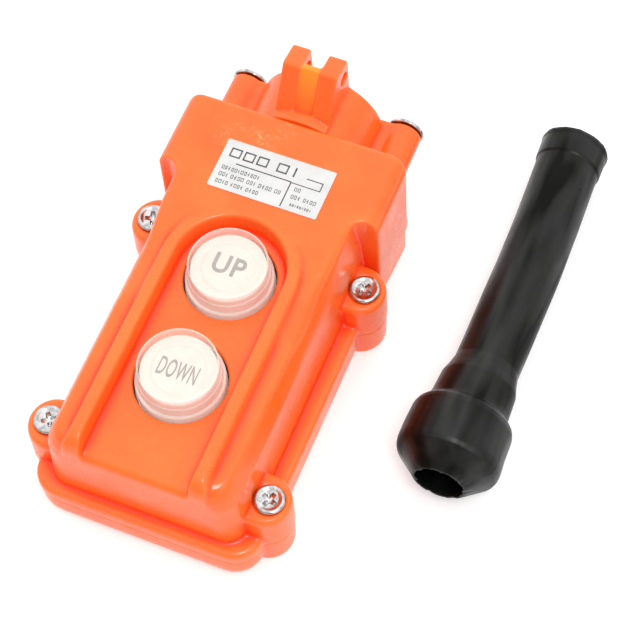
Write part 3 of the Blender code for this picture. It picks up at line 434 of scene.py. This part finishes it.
def moulded_shell(name, node, grid, soften):
    """A CAD shell remeshed finely and relaxed, so that its edges become moulded fillets."""
    welded = bmesh.new()
    welded.from_mesh(nodes[node].data)
    bmesh.ops.remove_doubles(welded, verts=welded.verts, dist=WELD)
    obj = new_object(name, welded)
    remesh = obj.modifiers.new("remesh", "REMESH")
    remesh.mode = "VOXEL"
    remesh.voxel_size = grid
    applied(obj)
    data = obj.data
    edges = np.empty(len(data.edges) * 2, np.int64)
    data.edges.foreach_get("vertices", edges)
    edges = edges.reshape(-1, 2)
    start = positions(data)
    points = relaxed(start, edges, SHELL_RELAX, RELAX_SHARE)
    if soften:
        weight = soften(start)
        points = relaxed(points, edges, BROW_RELAX, RELAX_SHARE * weight[:, None])
    data.vertices.foreach_set("co", points.reshape(-1))
    data.update()
    normals = np.empty(len(points) * 3, np.float32)
    data.vertex_normals.foreach_get("vector", normals)
    sunk = (relaxed(points, edges, CREASE_RELAX, RELAX_SHARE) - points) * normals.reshape(-1, 3)
    crease = sunk.sum(1) / CREASE_DEPTH
    # This crease measure also drives the painted shade in creases and the painted highlights on ridges of the
    # orange plastic.
    point_values(data, "crease", crease)
    flat = np.clip(1 - np.abs(crease) / FLAT_CREASE, 0, 1)
    points = relaxed(points, edges, FLAT_RELAX, RELAX_SHARE * flat[:, None])
    data.vertices.foreach_set("co", points.reshape(-1))
    data.update()
    data.shade_smooth()
    return obj


def bump_window(value, low, high, fade):
    """1 between two values, falling smoothly to 0 past each."""
    rise = np.clip((value - low) / fade + 1, 0, 1)
    fall = np.clip((high - value) / fade + 1, 0, 1)
    both = np.minimum(rise, fall)
    return both * both * (3 - 2 * both)


def brow_weight(points):
    """1 where the grip climbs to the head, on both sides: the creases there are wide, soft ones."""
    x, y, z = np.abs(points[:, 0]), points[:, 1], points[:, 2]
    across = bump_window(x, 21.8 * MM, 40 * MM, 1.2 * MM)
    along = bump_window(y, -2 * MM, 30 * MM, 6 * MM)
    height = bump_window(z, 31 * MM, 60 * MM, 3 * MM)
    return across * along * height


def turned(profile, sides, ring=False):
    """A solid turned about Z from (radius, height) points in millimetres, which a ring joins up."""
    mesh = bmesh.new()
    verts = [mesh.verts.new((radius * MM, 0.0, height * MM)) for radius, height in profile]
    edges = [mesh.edges.new(pair) for pair in zip(verts, verts[1:])]
    if ring:
        edges.append(mesh.edges.new((verts[-1], verts[0])))
    bmesh.ops.spin(
        mesh, geom=verts + edges, cent=(0, 0, 0), axis=(0, 0, 1), angle=math.tau, steps=sides
    )
    bmesh.ops.remove_doubles(mesh, verts=mesh.verts, dist=0.0005 * MM)
    bmesh.ops.recalc_face_normals(mesh, faces=mesh.faces)
    return mesh


def eased(profile, steps=4):
    """The profile with each (radius, height, ease) corner rounded by its ease, in millimetres."""
    points = []
    for index, (r, z, ease) in enumerate(profile):
        corner = Vector((r, z))
        if ease == 0:
            points.append((r, z))
            continue
        back = (Vector(profile[index - 1][:2]) - corner).normalized() * ease
        ahead = (Vector(profile[(index + 1) % len(profile)][:2]) - corner).normalized() * ease
        for step in range(steps + 1):
            share = step / steps
            point = corner + back * (1 - share) ** 2 + ahead * share ** 2
            points.append((point.x, point.y))
    return points


def shifted(mesh, matrix):
    bmesh.ops.transform(mesh, matrix=matrix, verts=mesh.verts)
    return mesh


def middle(node):
    low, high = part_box(node)
    return (low + high) / 2


# Case and gland head
SHELLS = {
    "front_shell": ("front_cover", SHELL_GRID, brow_weight),
    "rear_shell": ("rear_cover", SHELL_GRID, None),
    "gland_shell": ("gland_head", GLAND_GRID, None),
}
for name, (node, grid, soften) in SHELLS.items():
    placed_on(moulded_shell(name, node, grid, soften), "case", "orange_plastic", node)


# Screws

def cross_cutter(top, half_length, half_width, depth):
    """The four-winged hole for a driver, at its widest above the face and tapering down."""
    mesh = bmesh.new()
    rings = []
    for height, long, short in (
        (top - depth, 0.25 * half_length, 0.3 * half_width),
        (top - 0.5 * depth, 0.74 * half_length, 0.8 * half_width),
        (top + 0.8, 1.08 * half_length, 1.15 * half_width),
    ):
        inner = short * 1.35
        outline = []
        for turn in range(4):
            angle = math.radians(90 * turn)
            for x, y in ((long, -short), (long, short), (inner, inner)):
                outline.append((
                    x * math.cos(angle) - y * math.sin(angle), x * math.sin(angle) + y * math.cos(angle)
                ))
        rings.append([mesh.verts.new((x * MM, y * MM, height * MM)) for x, y in outline])
    for low, high in zip(rings, rings[1:]):
        for index in range(len(low)):
            after = (index + 1) % len(low)
            mesh.faces.new((low[index], low[after], high[after], high[index]))
    mesh.faces.new(rings[0])
    mesh.faces.new(rings[-1])
    bmesh.ops.recalc_face_normals(mesh, faces=mesh.faces)
    return mesh


def plated_screw(name, node, along, radius, turn):
    """A pan-head screw with a raised rim round a dished, cross-slotted face. Its own +Z is outwards."""
    low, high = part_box(node)
    centre = (low + high) / 2
    length = (high.z - low.z if along == "Z" else high.y - low.y) / MM
    height, shank = SCREW_HEAD_HEIGHT, SCREW_SHANK
    body = turned(eased([
        (0.0, -0.62, 0), (1.4, -0.60, 0.3), (0.62 * radius, -0.46, 0.5), (0.76 * radius, -0.08, 0.25),
        (0.86 * radius, 0.0, 0.3), (0.955 * radius, -0.22, 0.25), (radius, -0.42 * height, 0.3),
        (radius, -height + 0.15, 0.12), (radius - 0.2, -height, 0.05), (shank, -height, 0),
        (shank, SCREW_TIP - length, 0), (0.4 * shank, -length, 0), (0.0, -length, 0),
    ]), 72)
    obj = new_object(name, body)
    cutter = new_object(f"{name}.cross", shifted(
        cross_cutter(CROSS_TOP, CROSS_REACH * radius, CROSS_WIDTH * radius, CROSS_DEPTH),
        Matrix.Rotation(math.radians(turn), 4, "Z"),
    ))
    cross = obj.modifiers.new("cross", "BOOLEAN")
    cross.operation = "DIFFERENCE"
    cross.object = cutter
    cross.solver = "EXACT"
    applied(obj)
    bpy.data.objects.remove(cutter)
    obj.data.shade_smooth()
    obj.data.set_sharp_from_angle(angle=math.radians(38))
    if along == "Z":
        obj.matrix_world = Matrix.Translation((centre.x, centre.y, high.z))
    else:
        obj.matrix_world = (
            Matrix.Translation((centre.x, high.y, centre.z)) @ Matrix.Rotation(math.radians(-90), 4, "X")
        )
    placed_on(obj, "case", "chrome_plate", node)


# How far each screw was turned when it came tight, in degrees
CASE_SCREW_TURNS = {"upper_left": 20, "upper_right": 62, "lower_left": 35, "lower_right": 70}
GLAND_SCREW_TURNS = {"left": 30, "right": 75}
for place, turn in CASE_SCREW_TURNS.items():
    plated_screw(f"case_bolt_{place}", f"case_screw_{place}", "Z", CASE_SCREW_HEAD, turn)
for side, turn in GLAND_SCREW_TURNS.items():
    plated_screw(f"gland_bolt_{side}", f"gland_screw_{side}", "Y", GLAND_SCREW_HEAD, turn)


# Label: a plain film with a heading, rules and lines of small print, all as bars that spell nothing.
# Places and sizes on it are shares of its width and height, from its upper left corner.
WORD_GAP = 0.02
MARK_GAP = 0.009
MARK_STROKE = (0.0052, 0.0115)  # upright strokes, level strokes
DASH = 0.006  # half the thickness of a dash
HEADING_TOP, HEADING_BOTTOM = 0.15, 0.34
HEADING_STROKE = (0.013, 0.03)
HEADING_BOXES = [(0.065, 0.165), (0.19, 0.29), (0.315, 0.415), (0.50, 0.60)]
HEADING_BAR = (0.655, 0.67)
LABEL_RULES = [
    (0.156, 0.435, 0.67, 0.458), (0.662, 0.458, 0.673, 0.965), (0.78, 0.285, 0.935, 0.305),
    (0.925, 0.305, 0.935, 0.448), (0.673, 0.448, 0.935, 0.466),
]
# Left, right, middle line and height of each row of small print, and the widths of its marks
PRINT_ROWS = [
    (0.055, 0.41, 0.575, 0.075, (0.022, 0.016, 0.024, 0.02)),
    (0.055, 0.63, 0.715, 0.08, (0.024, 0.02, 0.018, 0, 0.022, 0.026, 0.02, 0.024, 0)),
    (0.055, 0.47, 0.865, 0.075, (0.02, 0.024, 0.018, 0.022, 0)),
    (0.72, 0.80, 0.56, 0.075, (0.024, 0.022)),
    (0.72, 0.95, 0.715, 0.08, (0.022, 0.02, 0.024, 0, 0.02)),
    (0.74, 0.95, 0.875, 0.05, (0.012, 0.016, 0.012)),
]


def print_bars(bars, low, size, height):
    """Flat ink bars, each (left, top, right, bottom) as shares of the label."""
    mesh = bmesh.new()
    for left, top, right, bottom in bars:
        corners = [(left, bottom), (right, bottom), (right, top), (left, top)]
        rings = []
        for z in (height, height + PRINT_THICKNESS):
            rings.append([
                mesh.verts.new((low.x + u * size.x, low.y + (1 - v) * size.y, z)) for u, v in corners
            ])
        mesh.faces.new(rings[1])
        for index in range(4):
            after = (index + 1) % 4
            mesh.faces.new((rings[0][index], rings[0][after], rings[1][after], rings[1][index]))
        mesh.faces.new(rings[0][::-1])
    return mesh


def hollow(left, top, right, bottom, wide, tall):
    """A box drawn with four bars."""
    return [
        (left, top, right, top + tall),
        (left, bottom - tall, right, bottom),
        (left, top + tall, left + wide, bottom - tall),
        (right - wide, top + tall, right, bottom - tall),
    ]


def small_print(left, right, middle_line, height, widths):
    """A row of small marks, two hollow boxes to each dashed bar, with a word gap at each width of 0."""
    bars = []
    top, bottom = middle_line - height / 2, middle_line + height / 2
    at = left
    step = 0
    while True:
        width = widths[step % len(widths)]
        step += 1
        if width == 0:
            at += WORD_GAP
            continue
        if at + width > right:
            return bars
        if step % 3:
            bars += hollow(at, top, at + width, bottom, *MARK_STROKE)
        else:
            bars.append((at + width * 0.35, top, at + width * 0.65, bottom))
            bars.append((at, middle_line - DASH, at + width * 0.35, middle_line + DASH))
        at += width + MARK_GAP


label_low, label_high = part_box("rating_label")
label_size = label_high - label_low
label_bars = [(HEADING_BAR[0], HEADING_TOP, HEADING_BAR[1], HEADING_BOTTOM), *LABEL_RULES]
for left, right in HEADING_BOXES:
    label_bars += hollow(left, HEADING_TOP, right, HEADING_BOTTOM, *HEADING_STROKE)
for row in PRINT_ROWS:
    label_bars += small_print(*row)
placed_on(
    new_object("label_print", print_bars(label_bars, label_low, label_size, label_high.z)),
    "case", "label_film", ink=LABEL_INK,
)


# Buttons

# The word, its width and height, how bold it is, and how far above the plate's middle, in millimetres
LEGENDS = {
    "up": ("UP", 9.5, 6.3, 0.024, 0.6),
    "down": ("DOWN", 11.5, 5.7, 0.014, -0.35),
}


def legend(name, word, wide, tall, weight, centre, top):
    """The direction word printed on the plate, drawn to a stated width and height."""
    curve = bpy.data.curves.new(name, "FONT")
    curve.body = word
    curve.align_x = "CENTER"
    curve.offset = weight
    curve.space_character = 1.1
    source = bpy.data.objects.new(name, curve)
    bpy.context.scene.collection.objects.link(source)
    graph = bpy.context.evaluated_depsgraph_get()
    flat = bpy.data.meshes.new_from_object(source.evaluated_get(graph))
    bpy.data.objects.remove(source)
    points = positions(flat)
    low, high = points.min(0), points.max(0)
    mesh = bmesh.new()
    mesh.from_mesh(flat)
    bmesh.ops.remove_doubles(mesh, verts=mesh.verts, dist=1e-5)
    upper = bmesh.ops.extrude_face_region(mesh, geom=list(mesh.faces))["geom"]
    for vertex in (item for item in upper if isinstance(item, bmesh.types.BMVert)):
        vertex.co.z += 1.0
    bmesh.ops.recalc_face_normals(mesh, faces=mesh.faces)
    for vertex in mesh.verts:
        vertex.co.x = centre.x + ((vertex.co.x - low[0]) / (high[0] - low[0]) - 0.5) * wide * MM
        vertex.co.y = centre.y + ((vertex.co.y - low[1]) / (high[1] - low[1]) - 0.5) * tall * MM
        vertex.co.z = top + vertex.co.z * PRINT_THICKNESS
    bpy.data.meshes.remove(flat)
    return new_object(name, mesh, 30)


def clear_cap(name, top, foot, centre):
    """The clear cap: a thick top, a thin wall with moulded steps, and a foot ring. Its wall carries a painted
    sheen.
    """
    inside = top - CAP_TOP_THICKNESS
    profile = [
        (0.0, top, 0), (10.6, top, 0.2), (CAP_TOP_RADIUS, top - 0.15, 0.45), (11.6, top - 4.0, 0.1),
        (11.85, top - 4.25, 0.1), (CAP_STEP_RADIUS, top - 7.4, 0.25), (CAP_FOOT_RADIUS, top - 7.8, 0.35),
        (CAP_FOOT_RADIUS, foot, 0.1), (CAP_BORE, foot, 0.1), (CAP_BORE, inside, 0.3), (0.0, inside, 0),
    ]
    place = Matrix.Translation((centre.x, centre.y, 0))
    obj = new_object(name, shifted(turned(eased(profile), 128), place), 50)
    points = positions(obj.data) / MM
    radius = np.hypot(points[:, 0] - centre.x / MM, points[:, 1] - centre.y / MM)
    # A painted sheen on the wall, and more of it on the foot ring.
    wall = np.clip((radius - WALL_SHEEN_FROM) / SHEEN_FADE, 0, 1)
    foot_ring = np.clip((radius - FOOT_SHEEN_FROM) / SHEEN_FADE, 0, 1)
    point_values(obj.data, "wall", wall + foot_ring)
    return obj


def white_plate(name, low, top, centre):
    """The white plate under the cap, whose middle stands a step above its rim."""
    profile = [
        (0.0, low, 0), (PLATE_RADIUS, low, 0.1), (PLATE_RADIUS, top - PLATE_STEP, 0.2),
        (PLATE_RAISED_RADIUS + 0.6, top - PLATE_STEP, 0.3), (PLATE_RAISED_RADIUS, top, 0.3), (0.0, top, 0),
    ]
    place = Matrix.Translation((centre.x, centre.y, 0))
    return new_object(name, shifted(turned(eased(profile), 128), place), 50)


for name, (word, wide, tall, weight, lift) in LEGENDS.items():
    body = f"{name}_button"
    cap_low, cap_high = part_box(f"button_cap_{name}")
    plate_low, plate_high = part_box(f"legend_disc_{name}")
    centre = middle(f"legend_disc_{name}")
    plate_top = plate_high.z / MM + PLATE_LIFT
    placed_on(
        clear_cap(f"clear_cap_{name}", cap_high.z / MM, cap_low.z / MM, centre),
        body, "clear_plastic", f"button_cap_{name}",
    )
    placed_on(
        white_plate(f"white_plate_{name}", plate_low.z / MM, plate_top, centre),
        body, "white_plastic", f"legend_disc_{name}",
    )
    word_centre = centre + Vector((0, lift * MM, 0))
    placed_on(
        legend(f"legend_{name}", word, wide, tall, weight, word_centre, plate_top * MM),
        body, "white_plastic", ink=LEGEND_INK,
    )


# Return springs

def coil_spring(name):
    """A wire coil, as wide and as tall as its CAD node."""
    low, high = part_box(f"return_spring_{name}")
    centre = (low + high) / 2
    radius = (high.x - low.x) / 2 - SPRING_WIRE
    bottom, top = low.z + SPRING_WIRE, high.z - SPRING_WIRE
    turns = np.linspace(0, SPRING_TURNS, SPRING_TURNS * SPRING_STEPS + 1)
    climb = np.clip((turns - SPRING_END_TURN) / (SPRING_TURNS - 2 * SPRING_END_TURN), 0, 1)
    first_turn = np.minimum(turns, SPRING_END_TURN)
    last_turn = np.maximum(turns - SPRING_TURNS + SPRING_END_TURN, 0)
    closed_rise = 2 * SPRING_WIRE / (top - bottom)
    share = climb + (first_turn + last_turn - climb * 2 * SPRING_END_TURN) * closed_rise
    mesh = bmesh.new()
    rings = []
    for turn, rise in zip(turns, share):
        angle = turn * math.tau
        outward = Vector((math.cos(angle), math.sin(angle), 0))
        wire_centre = Vector((centre.x, centre.y, bottom + rise * (top - bottom))) + outward * radius
        ring = []
        for side in range(SPRING_SIDES):
            around = math.tau * side / SPRING_SIDES
            offset = outward * math.cos(around) + Vector((0, 0, math.sin(around)))
            ring.append(mesh.verts.new(wire_centre + offset * SPRING_WIRE))
        rings.append(ring)
    for first, second in zip(rings, rings[1:]):
        for side in range(SPRING_SIDES):
            after = (side + 1) % SPRING_SIDES
            mesh.faces.new((first[side], first[after], second[after], second[side]))
    mesh.faces.new(rings[0])
    mesh.faces.new(rings[-1])
    bmesh.ops.recalc_face_normals(mesh, faces=mesh.faces)
    obj = new_object(f"coil_spring_{name}", mesh, 50)
    placed_on(obj, "case", "spring_steel", f"return_spring_{name}")
    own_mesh(obj)


for name in LEGENDS:
    coil_spring(name)


# Cable boot

def boot_matrix():
    """Lays the boot on the floor: the bulb and the beaded end both touch it."""
    bulb_at, bulb_radius = BOOT_PROFILE[BOOT_WIDEST]
    end_at, end_radius = BOOT_PROFILE[-1]
    tilt = math.asin((bulb_radius - end_radius) / (end_at - bulb_at))
    mouth_z = (bulb_radius / math.cos(tilt) + bulb_at * math.tan(tilt) + BOOT_LIFT) * MM
    turn = Matrix.Rotation(math.radians(-BOOT_HEADING), 4, "Z")
    turn = turn @ Matrix.Rotation(math.radians(-90) - tilt, 4, "X")
    return Matrix.Translation((*BOOT_MOUTH, mouth_z)) @ turn


def ripple(angle, along, waves):
    """A smooth uneven height, the sum of waves: (waves round it, length along it, phase, size)."""
    total = np.zeros_like(angle)
    for turns, length, phase, size in waves:
        total += size * np.sin(turns * angle + along / length + phase)
    return total


def rubber_boot():
    """The rubber sleeve, with mould lines, a bead at its far end and ragged flash at both ends."""
    end = BOOT_PROFILE[-1][0]
    profile = [(radius, at, 0.35) for at, radius in BOOT_PROFILE]
    profile += [
        (BOOT_BORE, end, 0.3), (BOOT_BORE, 90.0, 0), (BOOT_BORE, 55.0, 0), (BOOT_BORE, 25.0, 0.5),
        (BOOT_BULB_BORE, 21.0, 0.6), (BOOT_BULB_BORE, 9.5, 0.6), (BOOT_BORE, 1.5, 0.3), (BOOT_BORE, 0.0, 0.2),
    ]
    mesh = turned(eased(profile), 144, ring=True)
    long_edges = [edge for edge in mesh.edges if edge.calc_length() > 4 * MM]
    bmesh.ops.subdivide_edges(mesh, edges=long_edges, cuts=9, use_grid_fill=False)
    obj = new_object("rubber_boot", mesh)
    points = positions(obj.data) / MM
    angle = np.arctan2(points[:, 1], points[:, 0])
    radius = np.hypot(points[:, 0], points[:, 1])
    along = points[:, 2]
    outside = np.clip(radius - 8.2, 0, 1)  # 0 in the bore
    swell = ripple(angle, along, ((2, 9.0, 0.3, 0.05), (3, 14.0, 1.9, 0.04), (5, 5.0, 4.0, 0.02)))
    mould_line = 0.0
    for side in (MOULD_LINE_AT, MOULD_LINE_AT - math.pi):
        beside = (angle - side) * radius / MOULD_LINE_WIDTH
        mould_line = mould_line + MOULD_LINE_HEIGHT * np.exp(-beside ** 2)
    flash = ripple(angle, 0.0, ((7, 1, 0.4, 0.22), (13, 1, 2.0, 0.2), (29, 1, 1.0, 0.12)))
    flash = np.maximum(flash, 0)
    lip = np.exp(-(along / 0.8) ** 2) * np.clip((9.2 - radius) / 1.5, 0, 1)
    rim = np.exp(-((along - end) / 0.6) ** 2)
    rim_outside = rim * np.clip((radius - 9.5) / 0.5, 0, 1)
    radius_new = radius + outside * (swell + mould_line) - lip * flash * LIP_FLASH
    radius_new += rim_outside * (flash * RIM_FLASH - RIM_TRIM)
    points[:, 0] *= radius_new / radius
    points[:, 1] *= radius_new / radius
    points[:, 0] += np.interp(along, *zip(*BOOT_BEND))
    obj.data.vertices.foreach_set("co", (points * MM).reshape(-1))
    obj.data.transform(boot_matrix())
    obj.data.update()
    return obj


placed_on(rubber_boot(), "cable_boot", "black_rubber", "cable_boot")


# The CAD nodes that are still shown keep their shape and get a finish
for part in frame["record"]["subparts"]:
    node = nodes[part["node"]]
    node.data.materials.clear()
    node.data.materials.append(MATERIALS[part["material_slot"]])


# Stage, light and camera

def floor():
    """A pale light table: it glows faintly, so the shadows on it stay soft."""
    mesh = bmesh.new()
    bmesh.ops.create_grid(mesh, x_segments=1, y_segments=1, size=FLOOR_REACH)
    shifted(mesh, Matrix.Translation((0, 0, -FLOOR_DROP)))
    obj = new_object("floor", mesh)
    pale = Surface("pale_floor", FLOOR_SHADE, 0.7, Emission_Strength=FLOOR_GLOW)
    pale.shader.inputs["Emission Color"].default_value = (1.0, 1.0, 1.0, 1.0)
    pale.set("Base Color", pale.mix(pale.noise(0.3, 2.0), (0.59, 0.59, 0.59), (0.61, 0.61, 0.61)))
    obj.data.materials.append(pale.material)


def soft_box(name, at, aim, size, power):
    data = bpy.data.lights.new(name, "AREA")
    data.shape = "RECTANGLE"
    data.size, data.size_y = size
    data.energy = power
    obj = bpy.data.objects.new(name, data)
    bpy.context.scene.collection.objects.link(obj)
    obj.location = at
    obj.rotation_euler = (Vector(aim) - Vector(at)).to_track_quat("-Z", "Y").to_euler()


def sky(low, high, toward, spread):
    """A pale sky, brightest toward one side and falling to its low over a spread in degrees."""
    world = bpy.data.worlds.new("studio")
    world.use_nodes = True
    tree = world.node_tree
    place = tree.nodes.new("ShaderNodeTexCoord")
    facing = tree.nodes.new("ShaderNodeVectorMath")
    facing.operation = "DOT_PRODUCT"
    facing.inputs[1].default_value = Vector(toward).normalized()
    tree.links.new(place.outputs["Generated"], facing.inputs[0])
    glow = tree.nodes.new("ShaderNodeMapRange")
    glow.interpolation_type = "SMOOTHSTEP"
    glow.inputs["From Min"].default_value = math.cos(math.radians(spread))
    glow.inputs["From Max"].default_value = 1.0
    glow.inputs["To Min"].default_value = low
    glow.inputs["To Max"].default_value = high
    tree.links.new(facing.outputs["Value"], glow.inputs["Value"])
    background = tree.nodes["Background"]
    background.inputs["Color"].default_value = (1.0, 1.0, 1.0, 1.0)
    tree.links.new(glow.outputs["Result"], background.inputs["Strength"])
    bpy.context.scene.world = world


def camera():
    data = bpy.data.cameras.new("camera")
    data.lens = CAMERA_LENS
    data.sensor_width = CAMERA_SENSOR
    data.clip_end = 10.0
    obj = bpy.data.objects.new("camera", data)
    bpy.context.scene.collection.objects.link(obj)
    turn = (CAMERA_AIM - CAMERA_AT).to_track_quat("-Z", "Y").to_matrix().to_4x4()
    obj.matrix_world = (
        Matrix.Translation(CAMERA_AT) @ turn @ Matrix.Rotation(math.radians(CAMERA_ROLL), 4, "Z")
    )
    bpy.context.scene.camera = obj


floor()
sky(low=0.42, high=1.5, toward=(-0.2, 0.55, 0.82), spread=105)
soft_box("key", at=(0.28, -0.27, 0.9), aim=(0.02, 0.0, 0.02), size=(0.2, 0.2), power=3.0)
soft_box("side", at=(0.7, -0.35, 0.5), aim=(0.02, 0.0, 0.02), size=(0.5, 0.5), power=0.8)
camera()
bpy.context.scene.view_settings.view_transform = "Standard"
